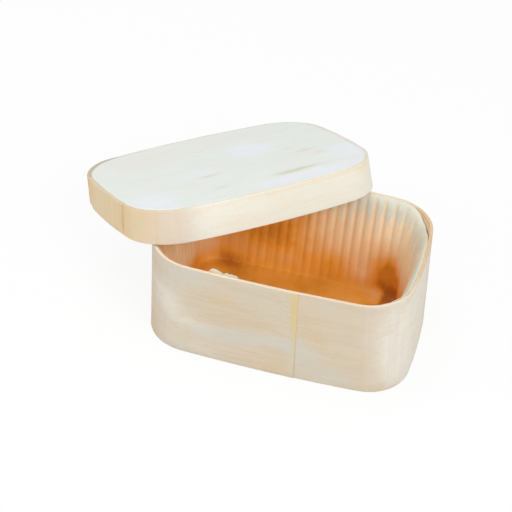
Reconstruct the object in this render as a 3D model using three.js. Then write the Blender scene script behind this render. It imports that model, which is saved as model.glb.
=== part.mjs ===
// A lidded box of thin peeled poplar, bent and glued: a band round a floor board, a lid made the
// same way, and a fluted paper case that stands loose inside. The lid lies askew over the back left
// corner of the open box, tipped until its top board meets that corner.
// Millimetres. The origin is under the middle of the floor, X runs along the box, Y to its back.
import * as THREE from "three";

// Box, over the outside of its rim
const boxLength = 150;
const boxWidth = 105.4;
const boxHeight = 62.9;
const sideBowRadius = 950;
const endBowRadius = 320;
const rimCornerRadius = 28;

// The floor board holds the foot of the band in shape, and the open rim springs out of it:
// wider across the long sides, drawn in at the ends, and a little to the left.
const footCornerRadius = 26;
const footLonger = 1.5;
const rimWider = 3;
const rimShift = 1.4;

const boxVeneer = 1.8;
const floorThickness = 2.2;
const glueGap = 0.3;

// The band's ends lap: the outer end is blunt, and its step runs out where the lap begins.
const boxLapLength = 45;
const boxLapStep = 0.5;
const boxLapRunOut = 30;
const boxLapFromMiddle = 13.4;
const lapBevel = 0.4;

// Lid, which slips over the rim. Its veneer is thinner, and its sides bow out further.
const lidEndClearance = 0.5;
const lidSideClearance = 1.7;
const lidVeneer = 1.4;
const lidSideBowRadius = 450;
const skirtHeight = 19.7;
const skirtFlareEnd = 0.9;
const skirtFlareShift = 0.8;
const skirtFlareSide = 1;
const panelThickness = 1.6;
const panelRecess = 0.2;

// The outer end of the lid's band is narrower: it keeps to the crown and stops above the mouth.
const lidLapLength = 92;
const lidLapStep = 1;
const lidLapRunOut = 14;
const lidLapRaised = 3;
const lidLapFromMiddle = 23;

// Where the lid lies on the box: its turn, its middle before it is tipped, and the gap it keeps
const lidTurn = THREE.MathUtils.degToRad(41.85);
const lidAlongShare = -0.334;
const lidAcrossShare = 0.373;
const seatGap = 0.3;

// Paper case: its gap to the veneer and its flutes' depth at its foot, heel, shoulder and edge.
// Its wall leans in to the foot, and above the shoulder a flange turns out to the veneer.
const paper = 0.4;
const casePitch = 6.4;
const caseFootGap = 12;
const caseHeelGap = 9.5;
const caseShoulderGap = 5.3;
const caseEdgeGap = 0.5;
const caseFootDepth = 0.7;
const caseShoulderDepth = 1.4;
const caseEdgeDepth = 1.2;
const caseHeelHeight = 4.5;
const caseFlangeHeight = 4.5;
const caseBelowRim = 0.9;
const stepsPerFlute = 6;

// Facets along each arc of a plan outline
const endSteps = 5;
const cornerSteps = 11;
const sideSteps = 7;

const poplar = { color: 0xe9d5b5, roughness: 0.85, metalness: 0 };
const palePoplar = { color: 0xe8e6da, roughness: 0.85, metalness: 0 };
const bakingPaper = { color: 0xd9a071, roughness: 0.6, metalness: 0 };

// An outline in plan: bowed ends and sides joined by round corners, as eight arcs anticlockwise
// from the +X end. A corner's arc touches both bowed sides from inside, so its centre lies where
// two circles cross, each short of a side's arc by the corner's radius.
function makeOutline(middleX, halfLength, halfWidth, cornerRadius, sideRadius) {
  const endX = halfLength - endBowRadius;
  const sideY = halfWidth - sideRadius;
  const fromSide = sideRadius - cornerRadius;
  const fromEnd = endBowRadius - cornerRadius;
  const span = Math.hypot(endX, sideY);
  const along = (fromSide ** 2 - fromEnd ** 2 + span ** 2) / (2 * span);
  const across = Math.sqrt(fromSide ** 2 - along ** 2);
  const towardX = endX / span;
  const towardY = -sideY / span;
  const cornerX = towardX * along + towardY * across;
  const cornerY = sideY + towardY * along - towardX * across;
  const endTurn = Math.atan2(cornerY, cornerX - endX);
  const sideTurn = Math.atan2(cornerY - sideY, cornerX);
  const half = Math.PI;
  const arc = (x, y, radius, from, to) => ({ x: middleX + x, y, radius, from, to });
  return [
    arc(endX, 0, endBowRadius, -endTurn, endTurn),
    arc(cornerX, cornerY, cornerRadius, endTurn, sideTurn),
    arc(0, sideY, sideRadius, sideTurn, half - sideTurn),
    arc(-cornerX, cornerY, cornerRadius, half - sideTurn, half - endTurn),
    arc(-endX, 0, endBowRadius, half - endTurn, half + endTurn),
    arc(-cornerX, -cornerY, cornerRadius, half + endTurn, half + sideTurn),
    arc(0, -sideY, sideRadius, half + sideTurn, 2 * half - sideTurn),
    arc(cornerX, -cornerY, cornerRadius, 2 * half - sideTurn, 2 * half - endTurn),
  ];
}

const LEFT_END = 4;
const FRONT_SIDE = 6;

const arcLength = (arc) => arc.radius * (arc.to - arc.from);
const perimeter = (outline) => outline.reduce((sum, arc) => sum + arcLength(arc), 0);

// A point of an outline, moved out along its normal. A station is an arc's number and the share
// of that arc which is passed.
function outlinePoint(outline, station, outward) {
  const arc = outline[station.arc];
  const angle = arc.from + (arc.to - arc.from) * station.share;
  const reach = arc.radius + outward;
  return new THREE.Vector2(arc.x + reach * Math.cos(angle), arc.y + reach * Math.sin(angle));
}

// The way round an outline to a station, as a share of its perimeter, and back
function wayTo(outline, station) {
  const passed = outline.slice(0, station.arc).reduce((sum, arc) => sum + arcLength(arc), 0);
  return (passed + arcLength(outline[station.arc]) * station.share) / perimeter(outline);
}

function stationAt(outline, way) {
  let left = (way - Math.floor(way)) * perimeter(outline);
  let arc = 0;
  while (arc < outline.length - 1 && left > arcLength(outline[arc])) {
    left -= arcLength(outline[arc]);
    arc += 1;
  }
  return { arc, share: left / arcLength(outline[arc]), way };
}

// Whether a point lies outside an outline: past an arc, in the wedge that the arc spans
function isOutside(outline, point) {
  const turn = 2 * Math.PI;
  return outline.some((arc) => {
    const angle = Math.atan2(point.y - arc.y, point.x - arc.x) - arc.from;
    const isInWedge = angle - turn * Math.floor(angle / turn) <= arc.to - arc.from;
    return isInWedge && Math.hypot(point.x - arc.x, point.y - arc.y) > arc.radius;
  });
}

// How far an outline reaches in a direction
function reachOf(outline, direction) {
  const touching = (arc) => arc.x * direction.x + arc.y * direction.y + arc.radius;
  const turn = 2 * Math.PI;
  const facing = outline.find((arc) => {
    const angle = Math.atan2(direction.y, direction.x) - arc.from;
    return angle - turn * Math.floor(angle / turn) <= arc.to - arc.from;
  });
  return touching(facing);
}

// Stations round a band, with those where its lap starts, is full, ends and steps down
function bandStations(outline, lap) {
  const ways = [lap.start, lap.start + lap.runOut, lap.end, lap.end + lap.bevel];
  outline.forEach((_, arc) => {
    const isCorner = arc % 2 === 1;
    const isEnd = arc % 4 === 0;
    const steps = isCorner ? cornerSteps : isEnd ? endSteps : sideSteps;
    for (let step = 0; step < steps; step += 1) {
      ways.push(wayTo(outline, { arc, share: step / steps }));
    }
  });
  const closest = lap.bevel / 2;
  return ways
    .sort((a, b) => a - b)
    .filter((way, k) => k === 0 || way - ways[k - 1] > closest || way === lap.end)
    .map((way) => stationAt(outline, way));
}

// A lap in shares of the perimeter: its blunt outer end lies a distance past the middle of an arc
function makeLap(outline, arc, fromMiddle, length, runOut) {
  const whole = perimeter(outline);
  const end = wayTo(outline, { arc, share: 1 / 2 }) + fromMiddle / whole;
  return { start: end - length / whole, runOut: runOut / whole, end, bevel: lapBevel / whole };
}

function lapRise(lap, way, step) {
  if (way < lap.start || way > lap.end + lap.bevel / 2) return 0;
  return step * Math.min(1, (way - lap.start) / lap.runOut);
}

// A closed skin over loops of equal count, each anticlockwise from above. The loops run up the
// outside and, for a hollow piece, down the inside. An open row of loops is capped at both ends.
function skin(loops, joined) {
  const count = loops[0].length;
  const positions = loops.flat().flatMap((p) => [p.x, p.y, p.z]);
  const indices = [];
  const rows = joined ? loops.length : loops.length - 1;
  for (let row = 0; row < rows; row += 1) {
    const low = row * count;
    const high = ((row + 1) % loops.length) * count;
    for (let k = 0; k < count; k += 1) {
      const next = (k + 1) % count;
      indices.push(low + k, low + next, high + next);
      indices.push(low + k, high + next, high + k);
    }
  }
  const cap = (row, turnedOver) => {
    const middle = positions.length / 3;
    const centre = new THREE.Vector3();
    loops[row].forEach((p) => centre.addScaledVector(p, 1 / count));
    positions.push(centre.x, centre.y, centre.z);
    for (let k = 0; k < count; k += 1) {
      const here = row * count + k;
      const next = row * count + ((k + 1) % count);
      indices.push(middle, turnedOver ? next : here, turnedOver ? here : next);
    }
  };
  if (!joined) {
    cap(0, true);
    cap(loops.length - 1, false);
  }
  const geometry = new THREE.BufferGeometry();
  geometry.setAttribute("position", new THREE.Float32BufferAttribute(positions, 3));
  geometry.setIndex(indices);
  geometry.computeVertexNormals();
  return geometry;
}

function makeMesh(name, geometry, finish) {
  const mesh = new THREE.Mesh(geometry, new THREE.MeshStandardMaterial(finish));
  mesh.name = name;
  return mesh;
}

// A wall between a lower and an upper outline: a point at a height share, moved out from the face
function wallPoint(wall, station, heightShare, outward) {
  const low = outlinePoint(wall.low, station, outward);
  const flat = low.lerp(outlinePoint(wall.high, station, outward), heightShare);
  return new THREE.Vector3(flat.x, flat.y, wall.height * heightShare);
}

// A bent band of veneer, lapped and glued. The lap's outer end may stop above the band's foot.
function makeBand(wall, lap, lapStep, lapRaised, veneer) {
  const stations = bandStations(wall.high, lap);
  const inner = (height) =>
    stations.map((station) => wallPoint(wall, station, height / wall.height, -veneer));
  const outer = (height, step) =>
    stations.map((station) => {
      return wallPoint(wall, station, height / wall.height, lapRise(lap, station.way, step));
    });
  const lapFoot = lapRaised > 0 ? [outer(0, 0), outer(lapRaised - lapBevel, 0)] : [];
  const face = [...lapFoot, outer(lapRaised, lapStep), outer(wall.height, lapStep)];
  return skin([...face, inner(wall.height), inner(0)], true);
}

// A board let into a band, between two heights, a glue gap short of the band's inner face
function makeBoard(wall, lap, veneer, bottom, top) {
  const stations = bandStations(wall.high, lap);
  const loop = (height) =>
    stations.map((station) => wallPoint(wall, station, height / wall.height, -veneer - glueGap));
  return skin([loop(bottom), loop(top)], false);
}

// Box
const footWidth = boxWidth / 2 - rimWider;
const footLength = boxLength / 2 + footLonger;
const foot = makeOutline(0, footLength, footWidth, footCornerRadius, sideBowRadius);
const rim = makeOutline(-rimShift, boxLength / 2, boxWidth / 2, rimCornerRadius, sideBowRadius);
const boxWall = { low: foot, high: rim, height: boxHeight };
const boxLapPast = boxLapFromMiddle + rimShift;
const boxLap = makeLap(rim, FRONT_SIDE, boxLapPast, boxLapLength, boxLapRunOut);

function makeBox() {
  const box = new THREE.Group();
  const band = makeBand(boxWall, boxLap, boxLapStep, 0, boxVeneer);
  const board = makeBoard(boxWall, boxLap, boxVeneer, 0, floorThickness);
  box.add(makeMesh("box_band", band, poplar), makeMesh("box_floor", board, poplar));
  return box;
}

// Paper case: a wavy wall that leans in to a smaller foot, pressed from one sheet. Its ends stay
// within the rim's, so that it lifts straight out.
const caseLength = boxLength / 2;
const caseFoot = makeOutline(-rimShift, caseLength, footWidth, footCornerRadius, sideBowRadius);
const caseWall = { low: caseFoot, high: rim, height: boxHeight };

function makeCase() {
  const caseFloor = floorThickness + seatGap;
  const caseTop = boxHeight - caseBelowRim;
  const levels = [
    { height: caseFloor, gap: caseFootGap, depth: caseFootDepth },
    { height: caseFloor + caseHeelHeight, gap: caseHeelGap, depth: caseFootDepth },
    { height: caseTop - caseFlangeHeight, gap: caseShoulderGap, depth: caseShoulderDepth },
    { height: caseTop, gap: caseEdgeGap, depth: caseEdgeDepth },
  ];
  const flutes = Math.round(perimeter(rim) / casePitch);
  const steps = flutes * stepsPerFlute;
  const stations = Array.from({ length: steps }, (_, k) => stationAt(rim, k / steps));
  const loop = (level, inward, lift) =>
    stations.map((station) => {
      const wave = (1 - Math.cos(2 * Math.PI * flutes * station.way)) / 2;
      const outward = -boxVeneer - level.gap - level.depth * wave - inward;
      return wallPoint(caseWall, station, (level.height + lift) / boxHeight, outward);
    });
  const [footLevel, ...wallLevels] = levels;
  const outside = levels.map((level) => loop(level, 0, 0));
  const inside = wallLevels.reverse().map((level) => loop(level, paper, 0));
  const floor = loop(footLevel, paper, paper);
  return makeMesh("paper_case", skin([...outside, ...inside, floor], false), bakingPaper);
}

// Lid, about the middle of its mouth. Its crown follows the rim, and its free edge flares.
const crownLength = boxLength / 2 + lidEndClearance + lidVeneer;
const crownWidth = boxWidth / 2 + lidSideClearance + lidVeneer;
const mouthLength = crownLength + skirtFlareEnd;
const mouthWidth = crownWidth + skirtFlareSide;
const lidCorner = rimCornerRadius + lidEndClearance + lidVeneer;
const crown = makeOutline(0, crownLength, crownWidth, lidCorner, lidSideBowRadius);
const mouth = makeOutline(skirtFlareShift, mouthLength, mouthWidth, lidCorner, lidSideBowRadius);
const skirt = { low: mouth, high: crown, height: skirtHeight };
const lidLap = makeLap(crown, LEFT_END, lidLapFromMiddle, lidLapLength, lidLapRunOut);
const panelTop = skirtHeight - panelRecess;
const panelUnder = panelTop - panelThickness;

function makeLid() {
  const lid = new THREE.Group();
  const band = makeBand(skirt, lidLap, lidLapStep, lidLapRaised, lidVeneer);
  const panel = makeBoard(skirt, lidLap, lidVeneer, panelUnder, panelTop);
  lid.add(makeMesh("lid_band", band, poplar), makeMesh("lid_panel", panel, palePoplar));
  return lid;
}

// The points where a loop passes in or out of a region, going once round the loop
function crossings(pointAt, isOut) {
  const tries = 360;
  const halvings = 30;
  const found = [];
  for (let k = 0; k < tries; k += 1) {
    let low = k / tries;
    let high = (k + 1) / tries;
    const lowIsOut = isOut(pointAt(low));
    if (lowIsOut === isOut(pointAt(high))) continue;
    for (let halving = 0; halving < halvings; halving += 1) {
      const middle = (low + high) / 2;
      if (isOut(pointAt(middle)) === lowIsOut) low = middle;
      else high = middle;
    }
    found.push(pointAt(low));
  }
  return found;
}

// The lid is laid level on the rim, turned, and then tipped about the line through the two places
// where its inner edge crosses the rim, until its panel meets the far corner of the rim.
function layLid(lid) {
  const turn = new THREE.Quaternion().setFromAxisAngle(new THREE.Vector3(0, 0, 1), lidTurn);
  const middle = new THREE.Vector3(lidAlongShare * boxLength, lidAcrossShare * boxWidth, 0);
  const innerEdge = (way) => {
    const flat = outlinePoint(mouth, stationAt(mouth, way), -lidVeneer);
    return new THREE.Vector3(flat.x, flat.y, 0).applyQuaternion(turn).add(middle);
  };
  const isPastRim = (point) => isOutside(rim, point);
  const [first, second] = crossings(innerEdge, isPastRim);
  const level = new THREE.Vector3(0, 0, boxHeight + seatGap);
  const up = new THREE.Vector3(0, 0, 1);
  const toPanelSide = second.clone().sub(first).normalize().cross(up);
  if (toPanelSide.dot(middle.clone().sub(first)) < 0) toPanelSide.negate();
  const cornerReach = reachOf(rim, toPanelSide) - first.dot(toPanelSide);
  const lean = Math.asin((panelUnder - 2 * seatGap) / cornerReach);
  const tip = new THREE.Quaternion().setFromAxisAngle(up.clone().cross(toPanelSide), lean);
  lid.quaternion.copy(tip).multiply(turn);
  lid.position.copy(middle).sub(first).applyQuaternion(tip).add(first).add(level);
  return lid;
}

const liddedBox = new THREE.Group();
liddedBox.add(makeBox(), makeCase(), layLid(makeLid()));

export default liddedBox;
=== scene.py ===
"""A small lidded box of peeled poplar with a fluted paper case, its lid lying askew on the rim."""

import math

import bpy
import numpy as np
from mathutils import Matrix, Vector


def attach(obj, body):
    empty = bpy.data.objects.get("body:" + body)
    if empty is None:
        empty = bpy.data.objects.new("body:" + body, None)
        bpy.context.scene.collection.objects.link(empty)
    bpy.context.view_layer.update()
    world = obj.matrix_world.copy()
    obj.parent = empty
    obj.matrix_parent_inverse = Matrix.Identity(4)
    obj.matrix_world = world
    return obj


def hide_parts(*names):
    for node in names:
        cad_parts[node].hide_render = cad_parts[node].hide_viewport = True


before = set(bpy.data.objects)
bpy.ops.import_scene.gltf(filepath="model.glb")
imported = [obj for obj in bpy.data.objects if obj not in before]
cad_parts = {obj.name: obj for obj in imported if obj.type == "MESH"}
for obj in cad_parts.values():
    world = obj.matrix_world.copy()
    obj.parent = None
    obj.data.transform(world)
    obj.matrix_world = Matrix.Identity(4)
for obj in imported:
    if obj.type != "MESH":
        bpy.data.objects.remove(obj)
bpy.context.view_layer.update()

# The camera stands in front of the box and a little to its right, looks down on it, and is
# slightly tilted.
view = bpy.data.cameras.new("view")
view.lens = 103.4
view.sensor_width = 36
view_stand = bpy.data.objects.new("view", view)
view_stand.location = (0.1223, -0.6407, 0.5582)
view_stand.rotation_euler = [math.radians(turn) for turn in (51.62, -3.39, 15.40)]
bpy.context.collection.objects.link(view_stand)
bpy.context.scene.camera = view_stand
bpy.context.scene.view_settings.view_transform = "Standard"


# The studio is a wide pale floor under soft light: an even white surround and three broad lamps,
# at the front right, at the left and above. Seen by the camera the surround is plain white and the
# floor nearly so.
def new_material(name):
    material = bpy.data.materials.new(name)
    material.use_nodes = True
    material.node_tree.nodes.clear()
    return material, material.node_tree


def add_node(tree, kind, **settings):
    """A node of a kind, with its own settings, such as the sum that a Math node does."""
    node = tree.nodes.new(kind)
    for name, value in settings.items():
        setattr(node, name, value)
    return node


def feed(tree, socket, value):
    """Links an output to a socket, or sets a plain value on it."""
    if isinstance(value, bpy.types.NodeSocket):
        tree.links.new(value, socket)
    else:
        socket.default_value = value


def math_node(tree, operation, first, second=0.0, third=0.0):
    node = add_node(tree, "ShaderNodeMath", operation=operation)
    for socket, value in zip(node.inputs, (first, second, third)):
        feed(tree, socket, value)
    return node.outputs["Value"]


def seen_plainly(tree):
    """1 for the rays that show a surface to the camera or in a gloss, 0 for those that light."""
    rays = add_node(tree, "ShaderNodeLightPath")
    return math_node(tree, "MAXIMUM", rays.outputs["Is Camera Ray"], rays.outputs["Is Glossy Ray"])


def show_surface(tree, shader):
    output = add_node(tree, "ShaderNodeOutputMaterial")
    feed(tree, output.inputs["Surface"], shader.outputs[0])


FLOOR_HALF = 4.0
FLOOR_DROP = 0.0001
FLOOR_SHADE_SHARE = 0.1

floor_mesh = bpy.data.meshes.new("studio_floor")
floor_corners = [
    (x * FLOOR_HALF, y * FLOOR_HALF, -FLOOR_DROP) for x, y in ((-1, -1), (1, -1), (1, 1), (-1, 1))
]
floor_mesh.from_pydata(floor_corners, [], [(0, 1, 2, 3)])
studio_floor = bpy.data.objects.new("studio_floor", floor_mesh)
bpy.context.collection.objects.link(studio_floor)
floor_paint, tree = new_material("pale_floor")
lit_floor = add_node(tree, "ShaderNodeBsdfDiffuse")
lit_floor.inputs["Color"].default_value = (0.94, 0.94, 0.94, 1)
white_floor = add_node(tree, "ShaderNodeEmission")
white_floor.inputs["Color"].default_value = (1, 1, 1, 1)
floor_mix = add_node(tree, "ShaderNodeMixShader")
white_share = math_node(tree, "MULTIPLY", seen_plainly(tree), 1 - FLOOR_SHADE_SHARE)
feed(tree, floor_mix.inputs[0], white_share)
feed(tree, floor_mix.inputs[1], lit_floor.outputs[0])
feed(tree, floor_mix.inputs[2], white_floor.outputs[0])
show_surface(tree, floor_mix)
floor_mesh.materials.append(floor_paint)

SURROUND_STRENGTH = 0.42
surround = bpy.data.worlds.new("surround")
surround.use_nodes = True
surround.node_tree.nodes.clear()
tree = surround.node_tree
sky = add_node(tree, "ShaderNodeBackground")
sky.inputs["Color"].default_value = (0.97, 0.985, 1, 1)
sky.inputs["Strength"].default_value = SURROUND_STRENGTH
white_sky = add_node(tree, "ShaderNodeBackground")
white_sky.inputs["Color"].default_value = (1, 1, 1, 1)
sky_mix = add_node(tree, "ShaderNodeMixShader")
feed(tree, sky_mix.inputs[0], seen_plainly(tree))
feed(tree, sky_mix.inputs[1], sky.outputs[0])
feed(tree, sky_mix.inputs[2], white_sky.outputs[0])
feed(tree, add_node(tree, "ShaderNodeOutputWorld").inputs["Surface"], sky_mix.outputs[0])
bpy.context.scene.world = surround

LAMPS_AIM = Vector((0, 0, 0.03))


def hang_lamp(name, place, size, power, tone):
    lamp = bpy.data.lights.new(name, "AREA")
    lamp.shape = "DISK"
    lamp.size = size
    lamp.energy = power
    lamp.color = tone
    stand = bpy.data.objects.new(name, lamp)
    stand.location = place
    stand.rotation_euler = (LAMPS_AIM - Vector(place)).to_track_quat("-Z", "Y").to_euler()
    bpy.context.collection.objects.link(stand)


hang_lamp("front_lamp", (0.8, -0.9, 1.1), 1.0, 12.0, (1, 0.98, 0.95))
hang_lamp("left_lamp", (-1.2, -0.5, 0.8), 0.8, 4.2, (1, 0.99, 0.97))
hang_lamp("top_lamp", (-0.3, 0.1, 1.4), 1.0, 5.6, (1, 1, 1))

# Box band: one strip of peeled poplar, bent round in the wet state into a rectangle with bowed
# sides and round corners. Its ends lap on the front and are glued; the outer end is cut blunt.
BOX_LENGTH, BOX_WIDTH, BOX_HEIGHT = 0.150, 0.1054, 0.0629
SIDE_BOW, END_BOW = 0.950, 0.320
RIM_CORNER, FOOT_CORNER = 0.028, 0.026
FOOT_LONGER, RIM_WIDER, RIM_SHIFT = 0.0015, 0.003, 0.0014
BOX_VENEER = 0.0018
# The lap: the arc of the plan that it is on, how far past that arc's middle the seam stands, how
# long the lap is, how gently it runs out, how far it stands off, how far its end stops above the
# foot, and how far the seam slants over the strip's height
BOX_LAP = {
    "arc": 6,
    "past": 0.0148,
    "length": 0.045,
    "run_out": 0.030,
    "step": 0.00018,
    "raised": 0.0,
    "slant": 0.0015,
}
# Where the veneer is stained, and its pale patches, which are partly painted light on the round
# corners and the right end, in millimetres: way round from the front of the right end, height, half
# length and half height of the patch, then its strength
BOX_STAINS = {
    "cool": (
        (322, 58, 13, 6, 0.8),
        (334, 19, 16, 7, 0.8),
        (354, 22, 14, 6, 0.8),
        (372, 25, 10, 6, 0.9),
        (387, 20, 9, 8, 0.8),
        (402, 7, 17, 8, 0.8),
        (381, 8, 4, 16, 0.5),
        (398, 57, 6, 4, 0.6),
        (318, 4, 14, 5, 0.7),
        (340, 2, 14, 3, 0.6),
        (150, 30, 30, 12, 0.7),
        (230, 20, 18, 9, 0.7),
    ),
    "pale_and_painted_light": (
        (305, 40, 12, 10, 0.55),
        (312, 12, 10, 8, 0.35),
        (314, 30, 13, 8, 0.55),
        (326, 23, 14, 6, 0.35),
        (332, 8, 15, 7, 0.4),
        (436, 40, 16, 30, 0.7),
        (440, 14, 12, 16, 0.6),
        (462, 30, 20, 60, 1.0),
        (488, 30, 24, 60, 0.8),
        (120, 46, 26, 9, 0.6),
        (262, 40, 24, 10, 0.6),
    ),
    "ochre": (
        (294, 3, 9, 10, 0.8),
        (339, 46, 12, 5, 0.5),
        (352, 40, 22, 7, 0.3),
        (346, 5, 20, 3, 0.3),
        (374, 6, 10, 7, 0.5),
        (389, 44, 9, 11, 0.5),
        (393, 31, 9, 6, 0.5),
        (419, 22, 4, 14, 0.7),
        (90, 12, 20, 6, 0.6),
        (200, 44, 22, 6, 0.6),
    ),
    "fingered": (
        (56, 63, 26, 1.8, 1.4),
        (20, 63, 30, 1.5, 0.8),
        (260, 63, 40, 1.5, 0.6),
    ),
}


def plan_of(middle_x, half_length, half_width, corner, side_bow=SIDE_BOW):
    """A plan outline as eight arcs anticlockwise from the +X end: x, y, radius, from, to."""
    end_x, side_y = half_length - END_BOW, half_width - side_bow
    from_side, from_end = side_bow - corner, END_BOW - corner
    span = math.hypot(end_x, side_y)
    along = (from_side**2 - from_end**2 + span**2) / (2 * span)
    across = math.sqrt(from_side**2 - along**2)
    toward_x, toward_y = end_x / span, -side_y / span
    corner_x = toward_x * along + toward_y * across
    corner_y = side_y + toward_y * along - toward_x * across
    end_turn = math.atan2(corner_y, corner_x - end_x)
    side_turn = math.atan2(corner_y - side_y, corner_x)
    arcs = []
    for half_turn, sign in ((0.0, 1), (math.pi, -1)):
        arcs += [
            (sign * end_x, 0, END_BOW, half_turn - end_turn, half_turn + end_turn),
            (sign * corner_x, sign * corner_y, corner, half_turn + end_turn, half_turn + side_turn),
            (0, sign * side_y, side_bow, half_turn + side_turn, half_turn + math.pi - side_turn),
            (
                -sign * corner_x,
                sign * corner_y,
                corner,
                half_turn + math.pi - side_turn,
                half_turn + math.pi - end_turn,
            ),
        ]
    return np.array(arcs, float) + np.array([middle_x, 0, 0, 0, 0])


def arc_lengths(plan):
    return plan[:, 2] * (plan[:, 4] - plan[:, 3])


def round_plan(plan, ways):
    """The arc and the share of it at each way, a share of the perimeter."""
    edges = np.concatenate([[0], np.cumsum(arc_lengths(plan))])
    reached = (ways % 1.0) * edges[-1]
    arc = np.clip(np.searchsorted(edges, reached, side="right") - 1, 0, len(plan) - 1)
    return arc, (reached - edges[arc]) / arc_lengths(plan)[arc]


def plan_points(plan, arc, share, outward):
    x, y, radius, start, end = np.moveaxis(plan[arc], -1, 0)
    angle = start + (end - start) * share
    reach = radius + outward
    return np.stack([x + reach * np.cos(angle), y + reach * np.sin(angle)], -1)


def wall_points(low, high, height, ways, outward, z):
    """Points of a wall that rises from a low outline to a high one."""
    arc, share = round_plan(high, ways)
    up = (z / height)[..., None]
    flat = plan_points(low, arc, share, outward) * (1 - up) + plan_points(high, arc, share, outward) * up
    return np.concatenate([flat, np.broadcast_to(z, outward.shape)[..., None]], -1)


def wobble(places, period, count, seed):
    """A slow uneven wave between about -1 and 1 that closes on itself after the period."""
    dice = np.random.default_rng(seed)
    total = np.zeros_like(places)
    for turns in range(1, count + 1):
        size, phase = dice.uniform(0.4, 1.0) / turns**0.6, dice.uniform(0, 2 * math.pi)
        total += size * np.sin(2 * math.pi * turns * places / period + phase)
    return total / 2.2


def patches(along, up, stains, around=None):
    """How strongly each place is stained: soft patches, which meet again after a way around."""
    total = 0 * (along + up)
    for place, height, half_length, half_height, strength in stains:
        apart = along - place
        if around:
            apart = (apart + around / 2) % around - around / 2
        total += strength * np.exp(-((apart / half_length) ** 2) - ((up - height) / half_height) ** 2)
    return np.clip(total, 0, 1)


CREASE_ANGLE = math.radians(50)


def skin_over(name, rings, joined, marks, material):
    """A closed mesh over rings of points, each anticlockwise from above, with marks on its points.
    Rings that don't join up are closed by a fan at the first and the last."""
    rows, count = rings.shape[:2]
    points = rings.reshape(-1, 3)
    here = np.arange(rows * count).reshape(rows, count)
    beside = np.roll(here, -1, axis=1)
    if joined:
        low, low_next = here, beside
        high, high_next = np.roll(here, -1, axis=0), np.roll(beside, -1, axis=0)
    else:
        low, low_next, high, high_next = here[:-1], beside[:-1], here[1:], beside[1:]
    faces = np.stack([low, low_next, high_next, high], -1).reshape(-1, 4).tolist()
    values = {mark: value.reshape(rows * count, -1) for mark, value in marks.items()}
    if not joined:
        for row, turned in ((0, True), (rows - 1, False)):
            middle = len(points)
            points = np.concatenate([points, rings[row].mean(0)[None]])
            for mark in values:
                ring_mean = values[mark][here[row]].mean(0)[None]
                values[mark] = np.concatenate([values[mark], ring_mean])
            pairs = zip(here[row].tolist(), beside[row].tolist())
            faces += [(middle, b, a) if turned else (middle, a, b) for a, b in pairs]
    mesh = bpy.data.meshes.new(name)
    mesh.from_pydata(points.tolist(), [], faces)
    for mark, value in values.items():
        kind, field = ("FLOAT_VECTOR", "vector") if value.shape[1] == 3 else ("FLOAT", "value")
        mesh.attributes.new(mark, kind, "POINT").data.foreach_set(field, value.astype(np.float32).ravel())
    mesh.polygons.foreach_set("use_smooth", [True] * len(mesh.polygons))
    mesh.set_sharp_from_angle(angle=CREASE_ANGLE)
    mesh.materials.append(material)
    made = bpy.data.objects.new(name, mesh)
    bpy.context.collection.objects.link(made)
    return made


STRIP_ROUND_OVER = 0.00025
STRIP_ROWS = 26


def strip_profile(veneer, height, raised):
    """A strip's section from its outer foot up, over the rim and down inside: outward, height.
    It has close rows where the outer end of the lap stops above the foot."""
    round_over, soft = STRIP_ROUND_OVER, STRIP_ROUND_OVER * 0.3
    rising = np.linspace(round_over, height - round_over, STRIP_ROWS)
    if raised:
        step_rows = raised + np.array([-0.0002, -0.00006, 0.00006, 0.0002])
        rising = np.sort(np.concatenate([rising[np.abs(rising - raised) > 0.0003], step_rows]))
    outer = [(-round_over, 0), (-soft, soft)] + [(0, z) for z in rising] + [(-soft, height - soft)]
    inner = [(-veneer + round_over, height), (-veneer + soft, height - soft)]
    inner += [(-veneer, z) for z in rising[::-1]] + [(-veneer + soft, soft), (-veneer + round_over, 0)]
    return np.array(outer + [(-round_over, height)] + inner).T


def corner_share(plan, ways):
    """1 in the middle of the plan's corners, 0 along its sides."""
    arc, share = round_plan(plan, ways)
    return np.where(arc % 2 == 1, np.sin(math.pi * share) ** 0.6, 0.0)


# Points along a strip: how far apart they are, how far from the seam the close ones lie at both
# ends, the slit between the strip's end and its start, and the room left beside the close ones
POINT_SPACING = 0.0014
SEAM_POINTS = (0, 0.0002, 0.00045, 0.0008, 0.0013, 0.002, 0.0028, 0.0036, 0.0044)
SEAM_SLIT, SEAM_CLEARANCE = 0.00012, 0.0012
SLANT_REACH = 0.02
# How a strip strays from its plan: where the lap's end springs off, where it waves between its
# glued edges, and where its rim rises, falls and is worn
LAP_SPRING, LAP_SPRING_REACH = 0.0001, 0.004
STRIP_WAVES = 0.0001
RIM_WAVES = 0.00016
RIM_WEAR, RIM_WEAR_DEPTH = 0.00003, 0.0004
CUT_EDGE_DEPTH = 0.0002


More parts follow.
